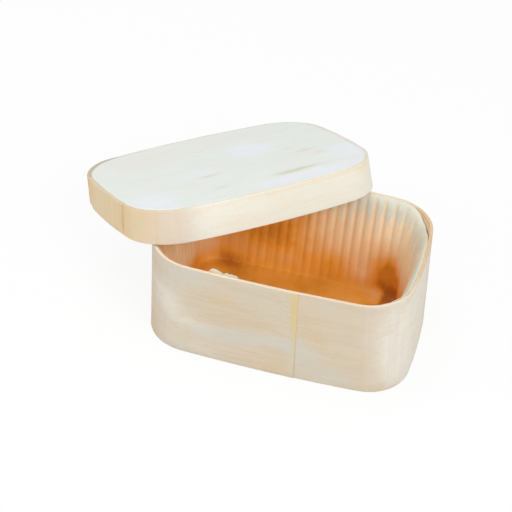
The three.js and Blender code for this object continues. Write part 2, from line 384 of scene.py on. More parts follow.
def bend_strip(name, low, high, height, veneer, lap, seed, stains, material):
    """A bent strip: it starts at the seam, runs once round and laps over its own start."""
    whole = arc_lengths(high).sum()
    close = np.array(SEAM_POINTS)
    count = int(whole / POINT_SPACING)
    middle = np.linspace(close[-1], whole - close[-1] - SEAM_CLEARANCE, count)[1:-1]
    run = np.concatenate([close, middle, whole - SEAM_SLIT - close[::-1]])
    outward, z = strip_profile(veneer, height, lap["raised"])
    outward, z = outward[:, None], z[:, None]
    run = run[None, :] + 0 * z
    near_seam = np.exp(-((np.minimum(run, whole - run) / SLANT_REACH) ** 2))
    slant = (z / height - 0.5) * lap["slant"]
    arc = lap["arc"]
    seam_way = (arc_lengths(high)[:arc].sum() + arc_lengths(high)[arc] / 2 + lap["past"]) / whole
    ways = seam_way + (run + slant * near_seam) / whole
    left = whole - run
    lapped = np.clip((lap["length"] - left) / lap["run_out"], 0, 1)
    lapped = lapped**2 * (3 - 2 * lapped) * (z > lap["raised"])
    spring = LAP_SPRING * np.exp(-((left / LAP_SPRING_REACH) ** 2)) * (z > lap["raised"])
    bent = STRIP_WAVES * (wobble(run, whole, 9, seed) * (0.35 + 0.65 * z / height) - 0.8)
    lift = RIM_WAVES * (wobble(run, whole, 14, seed + 1) - 1) * (z / height) ** 4
    worn = RIM_WEAR * wobble(run, whole, 160, seed + 2) * (z > height - RIM_WEAR_DEPTH)
    offset = outward + (lap["step"] * lapped + spring) * (outward > -veneer / 2) + bent
    rings = wall_points(low, high, height, ways, offset, z + 0 * run)
    rings[..., 2] += lift + worn
    passed = np.concatenate([[0], np.cumsum(np.hypot(np.diff(outward[:, 0]), np.diff(z[:, 0])))])
    strip = np.stack([run, passed[:, None] + 0 * run, 0 * run], -1) * 100
    cut = ((z < CUT_EDGE_DEPTH) | (z > height - CUT_EDGE_DEPTH)) * np.ones_like(run)
    marks = {
        "strip": strip,
        "cut_edge": cut,
        "from_seam": np.where(left < whole / 2, left, -run) * 1000,
        "height_share": z / height + 0 * run,
        "inside": (outward <= -veneer * 0.75) + 0 * run,
        "bent": corner_share(high, ways),
    }
    for tone, places in stains.items():
        marks[tone] = patches(ways % 1.0 * whole * 1000, z * 1000 + 0 * run, places, whole * 1000)
    return skin_over(name, rings, True, marks, material)


def mapped(tree, vector, scale, offset=(0, 0, 0)):
    node = add_node(tree, "ShaderNodeMapping")
    feed(tree, node.inputs["Vector"], vector)
    node.inputs["Scale"].default_value = scale
    node.inputs["Location"].default_value = offset
    return node.outputs["Vector"]


def noise(tree, vector, scale, detail=3.0, roughness=0.55, distortion=0.0):
    node = add_node(tree, "ShaderNodeTexNoise")
    feed(tree, node.inputs["Vector"], vector)
    node.inputs["Scale"].default_value = scale
    node.inputs["Detail"].default_value = detail
    node.inputs["Roughness"].default_value = roughness
    node.inputs["Distortion"].default_value = distortion
    return node.outputs["Fac"]


def between(tree, value, low, high, first=0.0, last=1.0):
    """Eases a value from the range low to high into first to last."""
    node = add_node(tree, "ShaderNodeMapRange", interpolation_type="SMOOTHSTEP")
    for socket, number in zip(node.inputs, (value, low, high, first, last)):
        feed(tree, socket, number)
    return node.outputs["Result"]


def part_of(tree, mask, share):
    return math_node(tree, "MULTIPLY", mask, share)


def stretch(tree, value, starts, full, fades, ends):
    """1 along a stretch of a value, easing in before it and out after it."""
    return part_of(tree, between(tree, value, starts, full), between(tree, value, ends, fades))


def near_line(tree, value, line, reach, core, most=1.0):
    """How near a value is to a line across it: the most within the core, 0 past the reach."""
    apart = math_node(tree, "ABSOLUTE", math_node(tree, "SUBTRACT", value, line))
    return between(tree, apart, reach, core, 0.0, most)


def tint(tree, mask, under, over):
    node = add_node(tree, "ShaderNodeMix", data_type="RGBA")
    under_socket, over_socket = [socket for socket in node.inputs if socket.type == "RGBA"]
    feed(tree, node.inputs["Factor"], mask)
    feed(tree, under_socket, under)
    feed(tree, over_socket, over)
    return next(socket for socket in node.outputs if socket.type == "RGBA")


def mark_value(tree, name):
    """A mark on the mesh's points, as one number."""
    return add_node(tree, "ShaderNodeAttribute", attribute_name=name).outputs["Fac"]


def mark_vector(tree, name):
    return add_node(tree, "ShaderNodeAttribute", attribute_name=name).outputs["Vector"]


def new_group(name, inputs, outputs):
    group = bpy.data.node_groups.new(name, "ShaderNodeTree")
    for label, kind in inputs:
        group.interface.new_socket(label, in_out="INPUT", socket_type=kind)
    for label in outputs:
        group.interface.new_socket(label, in_out="OUTPUT", socket_type="NodeSocketFloat")
    return group, group.nodes.new("NodeGroupInput"), group.nodes.new("NodeGroupOutput")


def make_peeled_grain():
    """Peeled poplar, from coordinates in centimetres with the grain along the first: broad pale
    and dark figure, fine fibres, short open vessels, soft clouds, stains and blotches, and the
    relief that the fibres, the vessels and the figure give."""
    inputs = [("Strip", "NodeSocketVector")]
    outputs = ["Figure", "Fibre", "Vessels", "Cloud", "Stain", "Blotch", "Relief"]
    group, given, result = new_group("peeled_grain", inputs, outputs)
    strip = given.outputs["Strip"]
    drift = noise(group, mapped(group, strip, (0.05, 0.55, 1)), 1.0, 2.0, 0.5, 0.4)
    contour = math_node(group, "MULTIPLY", drift, 9.0)
    figure = between(group, math_node(group, "PINGPONG", contour, 0.5), 0.05, 0.5)
    fibre = noise(group, mapped(group, strip, (0.5, 14, 1)), 1.0, 5.0, 0.62, 0.15)
    dashes = noise(group, mapped(group, strip, (3.2, 70, 1), (7, 3, 0)), 1.0, 2.0, 0.5)
    vessels = between(group, dashes, 0.6, 0.72)
    cloud = noise(group, mapped(group, strip, (0.22, 0.42, 1), (3, 8, 0)), 1.0, 3.0, 0.5, 0.6)
    stain = noise(group, mapped(group, strip, (0.16, 0.5, 1), (31, 17, 0)), 1.0, 3.0, 0.55, 0.9)
    blotch = noise(group, mapped(group, strip, (0.9, 1.6, 1), (13, 29, 0)), 1.0, 4.0, 0.6, 0.5)
    ridges = math_node(group, "MULTIPLY_ADD", fibre, 0.8, math_node(group, "MULTIPLY", figure, 0.15))
    relief = math_node(group, "MULTIPLY_ADD", vessels, -0.35, ridges)
    for label, value in zip(outputs, (figure, fibre, vessels, cloud, stain, blotch, relief)):
        feed(group, result.inputs[label], value)
    return group


peeled_grain = make_peeled_grain()


def lay_grain(tree, offset):
    """The grain's masks for a strip, taken from its own place in the log."""
    node = add_node(tree, "ShaderNodeGroup", node_tree=peeled_grain)
    feed(tree, node.inputs["Strip"], mapped(tree, mark_vector(tree, "strip"), (1, 1, 1), offset))
    return node.outputs


def finish(tree, colour, roughness, gloss, relief, strength, depth):
    """The material's shader: its colour, how dull it is, and a relief of a depth in metres."""
    shader = add_node(tree, "ShaderNodeBsdfPrincipled")
    feed(tree, shader.inputs["Base Color"], colour)
    feed(tree, shader.inputs["Roughness"], roughness)
    shader.inputs["Specular IOR Level"].default_value = gloss
    bump = add_node(tree, "ShaderNodeBump")
    bump.inputs["Strength"].default_value = strength
    bump.inputs["Distance"].default_value = depth
    feed(tree, bump.inputs["Height"], relief)
    feed(tree, shader.inputs["Normal"], bump.outputs["Normal"])
    show_surface(tree, shader)


WOOD_GLOSS, WOOD_RELIEF = 0.25, 0.5


def finish_wood(tree, colour, grain, depth, smooth, rough):
    """Bare wood: dull, with its fibres standing up a little."""
    roughness = between(tree, grain["Fibre"], 0.3, 0.7, smooth, rough)
    finish(tree, colour, roughness, WOOD_GLOSS, grain["Relief"], WOOD_RELIEF, depth)


def wood_colour(tree, grain, pale, deep, green, ochre, fibre_tone, strengths):
    """Poplar's colour: figure, then grey-green and ochre clouds, fibres and vessels over it."""
    figure, clouds, stains, fibres = strengths
    colour = tint(tree, part_of(tree, grain["Figure"], figure), pale, deep)
    green_share = between(tree, grain["Cloud"], 0.5, 0.72, 0.0, clouds)
    colour = tint(tree, green_share, colour, green)
    colour = tint(tree, between(tree, grain["Stain"], 0.52, 0.74, 0.0, stains), colour, ochre)
    colour = tint(tree, between(tree, grain["Fibre"], 0.42, 0.75, 0.0, fibres), colour, fibre_tone)
    return tint(tree, part_of(tree, grain["Vessels"], 0.3), colour, fibre_tone)


def band_bends(tree, colour, where, strength, tone):
    """Faint upright bands where the wet veneer was bent."""
    bands = noise(tree, mapped(tree, mark_vector(tree, "strip"), (2.2, 0.12, 1)), 1.0, 3.0, 0.6)
    share = part_of(tree, between(tree, bands, 0.4, 0.66, 0.0, strength), where)
    return tint(tree, share, colour, tone)


def tint_stains_and_painted_light(tree, colour, grain, name, tone, strength):
    """Tints the wood unevenly where a mark says so: its stains, and the painted light of the box's pale
    patches.
    """
    uneven = math_node(tree, "MULTIPLY_ADD", grain["Fibre"], 0.35, grain["Blotch"])
    share = part_of(tree, mark_value(tree, name), between(tree, uneven, 0.45, 0.9, 0.65, 1.15))
    return tint(tree, between(tree, share, 0.0, 1.0, 0.0, strength), colour, tone)


def screen(red, green, blue):
    """A colour as a screen shows it, 0 to 255, in the linear values that a material takes."""
    shares = np.array([red, green, blue]) / 255
    linear = np.where(shares <= 0.04045, shares / 12.92, ((shares + 0.055) / 1.055) ** 2.4)
    return (*linear.tolist(), 1.0)


def make_box_veneer():
    material, tree = new_material("box_veneer")
    grain = lay_grain(tree, (0, 0, 0))
    colour = wood_colour(
        tree,
        grain,
        pale=screen(220, 206, 184),
        deep=screen(213, 196, 170),
        green=screen(217, 211, 195),
        ochre=screen(218, 195, 161),
        fibre_tone=screen(199, 180, 154),
        strengths=(0.4, 0.5, 0.4, 0.2),
    )
    colour = tint_stains_and_painted_light(tree, colour, grain, "cool", screen(213, 209, 198), 0.9)
    colour = tint_stains_and_painted_light(tree, colour, grain, "ochre", screen(219, 196, 160), 0.9)
    # Pale patches, partly painted light where the round corners and the right end face the lamps.
    colour = tint_stains_and_painted_light(tree, colour, grain, "pale_and_painted_light", screen(237, 232, 219), 0.9)
    colour = band_bends(tree, colour, mark_value(tree, "bent"), 0.5, screen(224, 214, 206))
    share = mark_value(tree, "height_share")
    from_seam = mark_value(tree, "from_seam")
    glue_width = math_node(tree, "MULTIPLY_ADD", share, 4.2, 0.5)
    glue_left = math_node(tree, "SUBTRACT", glue_width, from_seam)
    in_glue = between(tree, glue_left, -1.2, 1.4)
    behind = between(tree, from_seam, -0.6, 0.0)
    fading = between(tree, share, 0.3, 0.75, 0.4, 0.85)
    glued = part_of(tree, part_of(tree, in_glue, behind), fading)
    colour = tint(tree, glued, colour, screen(224, 201, 152))
    step_line = near_line(tree, from_seam, -0.15, 0.55, 0.1)
    step_share = part_of(tree, step_line, between(tree, share, 0.5, 0.1, 0.0, 0.3))
    colour = tint(tree, step_share, colour, screen(190, 158, 112))
    # Painted light: the inner face is tinted much lighter and warmer, so that it stays bright in the
    # shaded groove behind the paper case.
    inside = part_of(tree, mark_value(tree, "inside"), 0.95)
    colour = tint(tree, inside, colour, screen(255, 232, 196))
    cut_edge = part_of(tree, mark_value(tree, "cut_edge"), 0.6)
    colour = tint(tree, cut_edge, colour, screen(240, 224, 202))
    colour = tint_stains_and_painted_light(tree, colour, grain, "fingered", screen(220, 188, 148), 0.9)
    finish_wood(tree, colour, grain, 0.0005, 0.72, 0.95)
    return material


foot_plan = plan_of(0, BOX_LENGTH / 2 + FOOT_LONGER, BOX_WIDTH / 2 - RIM_WIDER, FOOT_CORNER)
rim_plan = plan_of(-RIM_SHIFT, BOX_LENGTH / 2, BOX_WIDTH / 2, RIM_CORNER)
bent_box = bend_strip(
    "bent_box_band",
    low=foot_plan,
    high=rim_plan,
    height=BOX_HEIGHT,
    veneer=BOX_VENEER,
    lap=BOX_LAP,
    seed=11,
    stains=BOX_STAINS,
    material=make_box_veneer(),
)
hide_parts("box_band")
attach(bent_box, "box")

# Floor board: a thin poplar board sawn to the plan of the foot, pushed into the band and glued
# round its edge. Its underside is flush with the band.
FLOOR_THICKNESS = 0.0022
BOARD_GAP, BOARD_ROUND_OVER = 0.0001, 0.00015
BOARD_WAYS = 320
# Rings on a board's faces, as shares of the way out from its middle
BOARD_RINGS = np.linspace(0.02, 0.98, 33)
WARP_ALONG, WARP_ACROSS = 0.031, 0.023


def drawn_in(ring, middle, share):
    """A ring drawn in towards the middle of a board, at its own height."""
    return np.concatenate([middle + (ring[:, :2] - middle) * share, ring[:, 2:]], 1)


def cut_board(name, low, high, height, veneer, bottom, top, warp, turn, stains, material):
    """A board inside a wall, as rings from the middle of its underside round to that of its top.
    It is warped by a little, in waves that a turn shifts."""
    ways = np.linspace(0, 1, BOARD_WAYS, endpoint=False)[None, :]
    outer = -veneer - BOARD_GAP
    inner = outer - BOARD_ROUND_OVER
    low_z, high_z = bottom + BOARD_ROUND_OVER, top - BOARD_ROUND_OVER
    edge = []
    for outward, z in ((inner, bottom), (outer, low_z), (outer, high_z), (inner, top)):
        edge.append(wall_points(low, high, height, ways, outward + 0 * ways, z + 0 * ways)[0])
    middle = np.array([low[0, 0] + low[4, 0], 0.0]) / 2
    under = [drawn_in(edge[0], middle, share) for share in BOARD_RINGS]
    over = [drawn_in(edge[-1], middle, share) for share in BOARD_RINGS[::-1]]
    loops = np.array(under + edge + over)
    x, y = loops[..., 0], loops[..., 1]
    loops[..., 2] += warp * np.sin(x / WARP_ALONG + turn) * np.cos(y / WARP_ACROSS - turn)
    marks = {"strip": np.stack([x, y, 0 * x], -1) * 100}
    for tone, places in stains.items():
        marks[tone] = patches(x * 1000, y * 1000, places)
    return skin_over(name, loops, False, marks, material)


def make_floor_board():
    material, tree = new_material("floor_board")
    grain = lay_grain(tree, (41, 12, 0))
    colour = wood_colour(
        tree,
        grain,
        pale=screen(236, 224, 202),
        deep=screen(222, 202, 170),
        green=screen(220, 218, 200),
        ochre=screen(226, 196, 148),
        fibre_tone=screen(198, 172, 138),
        strengths=(0.7, 0.6, 0.6, 0.55),
    )
    finish_wood(tree, colour, grain, 0.0006, 0.75, 0.95)
    return material


floor_board = cut_board(
    "sawn_floor_board",
    low=foot_plan,
    high=rim_plan,
    height=BOX_HEIGHT,
    veneer=BOX_VENEER,
    bottom=0.0,
    top=FLOOR_THICKNESS,
    warp=0.0,
    turn=0.0,
    stains={},
    material=make_floor_board(),
)
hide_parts("box_floor")
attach(floor_board, "box")

# Paper case: one sheet of baking paper pressed into a fluted tray, standing loose in the box. Its
# wall leans in to a smaller foot and curls out to the veneer at its edge, which has slipped down at
# the back right and is torn at the front left. The flutes fade into short creases on the floor.
CASE_PAPER = 0.00025
CASE_FLOOR_UP = 0.0003
# The sheet's gap to the veneer and the flutes' depth, at the case's foot, on its wall and at its
# edge. The gap's middle value is at the heel, the round foot of the wall.
CASE_FOOT_GAP, CASE_HEEL_GAP, CASE_EDGE_GAP = 0.012, 0.0095, 0.0001
CASE_FOOT_DEPTH, CASE_WALL_DEPTH, CASE_EDGE_DEPTH = 0.0004, 0.0008, 0.0002
CASE_HEEL_HEIGHT, CASE_HEEL_SOFTNESS = 0.0045, 0.0006
FLOOR_CREASE = 0.009
# Flutes: how far apart they are, how much wider on the round corners, by what share of a flute
# they are shifted at the plan's start, how unevenly deep they are, and where up the wall they
# reach their depth and begin to fade
CASE_PITCH = 0.0064
CORNER_FLUTE_SHARE = 1.6
FLUTE_TURN = 0.4
FLUTE_UNEVENNESS = (0.5, 1.2)
FLUTES_FULL_FROM, FLUTES_FADE_FROM = 0.6, 0.92
# How the sheet strays from its form: where its edge wavers and is torn unevenly, its wall slumps,
# its flutes are pulled aside and its paper is dented, and how suddenly it leaves the veneer
EDGE_WAVER, TEAR_WAVER = 0.00012, 0.25
WALL_SLUMP, FLUTE_PULL, DENT_DEPTH = 0.0004, 0.0009, 0.0002
EDGE_STAND_OFF_POWER = 40
# Rows of points: on the floor, along its creases, round the heel and up the wall, drawn together
# towards the edge, and shares of the torn strip's height
FLOOR_ROWS = np.linspace(0.03, 0.975, 28)
CREASE_ROWS = np.arange(8) / 8
HEEL_ROWS = np.arange(10) / 9
WALL_ROWS = 1 - (1 - np.arange(1, 43) / 42) ** 1.7
TORN_ROWS = (0.3, 0.6, 0.85, 1.0)
USUAL_TEAR = 0.001
FLUTE_STEPS = 14
# What the paper's marks measure by: the way round in about as many centimetres, and how many
# millimetres a torn strip counts for in the distance from the edge
PAPER_ROUND, TORN_STRIP = 47, 0.3
# The case's edge at ways round from the front of the right end: how far it lies under the rim, how
# far it stands off the veneer, how far it is torn up, how far the painted whitish sheen (a painted
# reflection) reaches down from it, all in millimetres, and how deep the flutes are pressed
CASE_ROUND = (
    (0.000, 0.6, 0.0, 0.1, 12.0, 1.0),
    (0.088, 0.7, 0.0, 0.1, 20.0, 1.0),
    (0.098, 1.8, 0.1, 0.1, 20.0, 1.0),
    (0.110, 4.6, 0.1, 0.1, 25.0, 1.0),
    (0.122, 6.8, 0.1, 0.1, 26.0, 1.0),
    (0.136, 6.6, 0.1, 0.2, 22.0, 1.0),
    (0.148, 4.8, 0.1, 0.2, 19.0, 1.0),
    (0.159, 2.2, 0.1, 0.2, 16.0, 1.0),
    (0.172, 0.5, 0.0, 0.3, 16.0, 1.0),
    (0.300, 0.5, 0.0, 0.2, 15.0, 1.0),
    (0.400, 0.7, 0.1, 0.1, 4.0, 0.7),
    (0.500, 1.2, 0.2, 0.1, 3.0, 0.4),
    (0.620, 1.6, 0.2, 0.1, 3.0, 0.4),
    (0.728, 1.6, 0.1, 0.1, 3.0, 0.5),
    (0.732, 0.6, 0.1, 2.2, 3.0, 0.5),
    (0.738, 0.5, 0.1, 2.6, 3.0, 0.5),
    (0.745, 0.6, 0.1, 1.6, 3.0, 0.5),
    (0.747, 0.6, 0.1, 0.8, 3.0, 0.5),
    (0.752, 0.6, 0.1, 1.7, 3.0, 0.5),
    (0.764, 0.6, 0.1, 1.3, 3.0, 0.6),
    (0.768, 1.4, 0.1, 0.1, 3.0, 0.6),
    (0.930, 1.6, 0.1, 0.1, 3.0, 1.0),
    (0.960, 0.6, 0.3, 0.4, 4.0, 1.0),
    (1.000, 0.6, 0.0, 0.1, 10.0, 1.0),
)
# Where shade and light are painted on the case's wall, given as for the box's veneer: painted shade
# deepens it under the lid and along the foot, painted light lifts it in patches
CASE_STAINS = {
    "painted_shade": (
        (163, 28, 26, 18, 0.9),
        (184, 10, 18, 12, 0.2),
        (86, 15, 12, 12, 1.35),
        (80, 9, 11, 8, 1.1),
        (126, 12, 15, 10, 0.6),
        (250, 6, 30, 8, 0.5),
        (380, 6, 60, 9, 0.6),
    ),
    "painted_light": (
        (84, 50, 28, 20, 1.0),
        (66, 34, 20, 20, 0.9),
        (257, 34, 20, 17, 0.65),
        (104, 13, 7, 9, 0.5),
        (132, 45, 20, 18, 0.7),
        (232, 24, 46, 26, 0.75),
        (440, 40, 40, 20, 0.6),
        (330, 44, 50, 14, 0.4),
    ),
}
# Where light is painted on the case's floor, and where shade is painted on it most: place along
# and across from the middle of the box, half length and half width of the patch, all in
# millimetres, and strength
CASE_PAINTED_FLOOR_LIGHT = ((42, 43, 6, 8, 1.2), (46, 31, 5, 7, 0.9), (-56, 30, 8, 6, 0.15))
CASE_PAINTED_FLOOR_SHADE = ((53, 32, 5, 5, 1.2), (-43, 34, 9, 8, 0.5))
# How much shade is painted in the foot, and how far up the wall that painted shade and the floor's
# painted light reach
FOOT_PAINTED_SHADE, FOOT_PAINTED_SHADE_UP, PAINTED_FLOOR_LIGHT_UP = 0.55, 0.006, 0.004
MOST_PAINTED_SHADE = 1.4
# How quickly the wall's painted shade and light fade towards the middle of the floor
FLOOR_FADE_POWER = 4


def case_profile():
    """The sheet's section from the floor's middle outwards and up: gap to the box's wall, height
    over the foot, share of the wall climbed, share of the torn edge climbed, depth of the flutes,
    the way the surface faces (0 up, 1 inwards), share of the floor's reach."""
    floor_gap = CASE_FOOT_GAP + FLOOR_CREASE
    rows = [(floor_gap, 0, 0, 0, 0, share) for share in FLOOR_ROWS]
    for t in CREASE_ROWS:
        rows.append((floor_gap - FLOOR_CREASE * t, 0, 0, 0, CASE_FOOT_DEPTH * t**1.5, 1))
    for t in HEEL_ROWS:
        soft = CASE_HEEL_GAP + CASE_HEEL_SOFTNESS
        gap = (1 - t) ** 2 * CASE_FOOT_GAP + 2 * t * (1 - t) * soft + t**2 * CASE_HEEL_GAP
        rows.append((gap, CASE_HEEL_HEIGHT * t**2, 0, 0, CASE_FOOT_DEPTH, 1))
    for t in WALL_ROWS:
        gap = CASE_EDGE_GAP + (CASE_HEEL_GAP - CASE_EDGE_GAP) * (1 - t) ** 0.5
        deepened = min(t / FLUTES_FULL_FROM, 1)
        faded = max((t - FLUTES_FADE_FROM) / (1 - FLUTES_FADE_FROM), 0) ** 1.5
        depth = CASE_FOOT_DEPTH + (CASE_WALL_DEPTH - CASE_FOOT_DEPTH) * deepened
        depth += (CASE_EDGE_DEPTH - CASE_WALL_DEPTH) * faded
        rows.append((gap, CASE_HEEL_HEIGHT, t, 0, depth, 1))
    for t in TORN_ROWS:
        rows.append((CASE_EDGE_GAP, CASE_HEEL_HEIGHT, 1, t, CASE_EDGE_DEPTH, 1))
    gap, foot_up, up, torn, depth, reach = np.array(rows, float).T
    rise = np.gradient(foot_up + up * BOX_HEIGHT + torn * USUAL_TEAR)
    length = np.hypot(rise, np.gradient(gap))
    facing = rise / np.where(rise > 0, length, 1.0)
    return gap, foot_up, up, torn, depth, facing, reach


def evened_out(values, weights):
    """Values round a closed way, each evened out with its neighbours."""
    count = len(values)
    return np.convolve(np.tile(values, 3), weights / weights.sum(), "same")[count : 2 * count]


def lay_flutes(ways, flutes):
    """How far round the flutes have turned at each way, and how deeply each flute is pressed."""
    dice = np.random.default_rng(5)
    arc, _ = round_plan(rim_plan, ways)
    easing = np.exp(-((np.arange(-40, 41) / 18) ** 2))
    spacing = evened_out(np.where(arc % 2 == 1, CORNER_FLUTE_SHARE, 1.0), easing)
    passed = np.cumsum(1 / spacing)
    turn = 2 * math.pi * (flutes * passed / passed[-1] + FLUTE_TURN)
    uneven = dice.uniform(*FLUTE_UNEVENNESS, flutes)[(turn / (2 * math.pi)).astype(int) % flutes]
    return turn, evened_out(uneven, np.ones(9))


def press_case(name, material):
    whole = arc_lengths(rim_plan).sum()
    flutes = round(whole / CASE_PITCH)
    count = flutes * FLUTE_STEPS
    ways = np.arange(count) / count
    turn, uneven = lay_flutes(ways, flutes)
    wave = (1 - np.cos(turn + 0.5 * np.sin(turn))) / 2
    gap, foot_up, up, torn, depth, facing, reach = (row[:, None] for row in case_profile())
    table = np.array(CASE_ROUND).T
    drop, off, tear, painted_sheen, pressed = (np.interp(ways, table[0], row) for row in table[1:])
    drop = drop * 0.001 + EDGE_WAVER * wobble(ways, 1.0, 60, 8)
    tear = tear * 0.001 * (1 + TEAR_WAVER * wobble(ways, 1.0, 220, 9))
    foot_z = FLOOR_THICKNESS + CASE_FLOOR_UP
    wall = BOX_HEIGHT - drop[None, :] - foot_z - CASE_HEEL_HEIGHT
    z = foot_z + foot_up + up * wall + torn * tear[None, :]
    slump = WALL_SLUMP * (wobble(ways, 1.0, 26, 33) + 1)[None, :] * up * (1 - up) * 4
    fold = depth * (wave * uneven * pressed)[None, :]
    pull = FLUTE_PULL * wobble(ways, 1.0, 12, 21)
    dents = DENT_DEPTH * np.sin(turn * 0.37 + 40 * z) * np.sin(turn * 0.23 - 65 * z)
    dents *= up * (1 - up**4)
    foot = plan_of(-RIM_SHIFT, BOX_LENGTH / 2, BOX_WIDTH / 2 - RIM_WIDER, FOOT_CORNER)
    middle = np.array([-RIM_SHIFT, 0.0])

    def sheet_side(paper):
        """One side of the sheet, at a distance from its outer side."""
        stand_off = off[None, :] * 0.001 * up**EDGE_STAND_OFF_POWER
        inward = gap + slump + stand_off + (fold + dents + paper) * facing
        rise = z + (fold + paper) * (1 - facing)
        sway = ways[None, :] + pull[None, :] * up
        rings = wall_points(foot, rim_plan, BOX_HEIGHT, sway, -BOX_VENEER - inward, z + 0 * inward)
        rings[..., 2] = rise
        rings[..., :2] = middle + (rings[..., :2] - middle) * reach[..., None]
        return rings

    sheet = sheet_side(0.0)
    rings = np.concatenate([sheet, sheet_side(CASE_PAPER)[::-1]])
    from_edge = (1 - up) * wall * 1000 + (1 - torn) * TORN_STRIP
    marks = {
        "height_share": z / BOX_HEIGHT,
        "painted_sheen": 1 - from_edge / painted_sheen[None, :],
        "crest": wave[None, :] + 0 * fold,
        "place": sheet * 100,
        "strip": np.stack([ways * PAPER_ROUND + 0 * fold, z * 100 + 0 * fold, 0 * fold], -1),
    }
    along, around = ways[None, :] * whole * 1000, whole * 1000
    for tone, places in CASE_STAINS.items():
        marks[tone] = patches(along, z * 1000, places, around) * reach**FLOOR_FADE_POWER
    floor_x, floor_y = 1000 * sheet[..., 0], 1000 * sheet[..., 1]
    # Painted light on the floor beside the foot and painted shade in its corners, added to the painted
    # shade that runs along the foot.
    pale = patches(floor_x, floor_y, CASE_PAINTED_FLOOR_LIGHT) * np.exp(-(((z - foot_z) / PAINTED_FLOOR_LIGHT_UP) ** 2))
    painted_floor_shade = patches(floor_x, floor_y, CASE_PAINTED_FLOOR_SHADE)
    foot_painted_shade = FOOT_PAINTED_SHADE - 0.4 * pale + 0.6 * painted_floor_shade
    painted_foot_shade = foot_painted_shade * np.exp(-(((z - foot_z) / FOOT_PAINTED_SHADE_UP) ** 2))
    marks["painted_shade"] = np.clip(marks["painted_shade"] * (1 - 0.8 * pale) + painted_foot_shade, 0, MOST_PAINTED_SHADE)
    # Painted light on the wall, lifted further where light is painted on the floor.
    marks["painted_light"] = np.clip(marks["painted_light"] + 0.3 * pale, 0, 1)
    marks = {mark: np.concatenate([row, row[::-1]]) for mark, row in marks.items()}
    return skin_over(name, rings, False, marks, material)


def make_case_paper():
    """Peach baking paper, with painted shade that makes it darker and more orange-brown towards the
    foot and under the lid, painted light that makes it paler up the wall and in patches, and a
    painted whitish sheen down the flutes' crests from the cut edge."""
    material, tree = new_material("case_paper")
    share = mark_value(tree, "height_share")
    place = mark_vector(tree, "place")
    strip = mark_vector(tree, "strip")
    mottle = noise(tree, mapped(tree, place, (0.5, 0.5, 0.4)), 1.0, 4.0, 0.6, 0.4)
    fibres = noise(tree, mapped(tree, place, (9, 9, 5)), 1.0, 4.0, 0.65)
    streaks = noise(tree, mapped(tree, strip, (6, 0.4, 1), (5, 2, 0)), 1.0, 3.0, 0.6)
    # Painted shade: darker and more orange towards the foot, paler up the wall.
    colour = tint(tree, between(tree, share, 0.1, 0.6), screen(240, 180, 112), screen(246, 206, 156))
    colour = tint(tree, between(tree, mottle, 0.42, 0.7, 0.0, 0.3), colour, screen(238, 188, 130))
    on_wall = between(tree, share, 0.05, 0.15)
    streaked = part_of(tree, between(tree, streaks, 0.35, 0.7, 0.0, 0.2), on_wall)
    colour = tint(tree, streaked, colour, screen(248, 220, 190))
    # Painted light: paler patches on the wall and floor.
    colour = tint(tree, mark_value(tree, "painted_light"), colour, screen(254, 238, 206))
    # Painted shade: deeper orange-brown under the lid and along the foot.
    painted_shade = math_node(tree, "MULTIPLY_ADD", mottle, 1.1, mark_value(tree, "painted_shade"))
    colour = tint(tree, between(tree, painted_shade, 0.45, 1.35), colour, screen(244, 172, 66))
    colour = tint(tree, between(tree, painted_shade, 1.1, 1.7), colour, screen(208, 134, 42))
    colour = tint(tree, between(tree, painted_shade, 1.5, 1.9, 0.0, 0.8), colour, screen(176, 100, 36))
    # Painted highlight and reflection: a whitish sheen on the flutes' crests, running down from the cut
    # edge.
    crest = between(tree, mark_value(tree, "crest"), 0.2, 0.9)
    in_streaks = between(tree, streaks, 0.3, 0.7, -0.55, 0.35)
    painted_sheen = math_node(tree, "ADD", mark_value(tree, "painted_sheen"), in_streaks)
    painted_sheen = math_node(tree, "MULTIPLY_ADD", crest, 0.35, painted_sheen)
    painted_sheen = math_node(tree, "ADD", painted_sheen, between(tree, fibres, 0.35, 0.7, 0.2, -0.4))
    colour = tint(tree, between(tree, painted_sheen, 0.0, 0.8, 0.0, 0.95), colour, screen(222, 226, 213))
    colour = tint(tree, between(tree, fibres, 0.5, 0.8, 0.0, 0.2), colour, screen(232, 186, 134))
    roughness = between(tree, fibres, 0.3, 0.7, 0.42, 0.62)
    finish(tree, colour, roughness, gloss=0.35, relief=fibres, strength=0.35, depth=0.0003)
    return material


pressed_case = press_case("pressed_paper_case", make_case_paper())
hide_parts("paper_case")
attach(pressed_case, "case")

# Lid band: a low strip of the same veneer, bent to slip over the rim, lapped on the left end.
# Its free edge flares a little. The lid lies turned and tipped over the box's back left corner.
LID_END_CLEARANCE, LID_SIDE_CLEARANCE, LID_VENEER = 0.0005, 0.0017, 0.0014
LID_SIDE_BOW = 0.450
SKIRT_HEIGHT = 0.0197
FLARE_END, FLARE_SHIFT, FLARE_SIDE = 0.0009, 0.0008, 0.001
LID_LAP = {
    "arc": 4,
    "past": 0.0229,
    "length": 0.092,
    "run_out": 0.014,
    "step": 0.001,
    "raised": 0.003,
    "slant": 0.004,
}
LID_STAINS = {
    "ochre": (
        (415, 18.5, 34, 1.8, 0.6),
        (372, 17.5, 24, 1.4, 0.5),
        (440, 15, 9, 7, 0.5),
        (330, 16, 12, 2, 0.5),
        (395, 8, 26, 1.8, 0.3),
        (352, 6, 22, 1.6, 0.3),
        (120, 10, 26, 3, 0.5),
    ),
}
LID_TURN, LID_LEAN, LID_HEADING = (math.radians(angle) for angle in (41.85, 17.361, 131.524))
LID_MIDDLE = Vector((-0.048785, 0.037829, 0.050209))

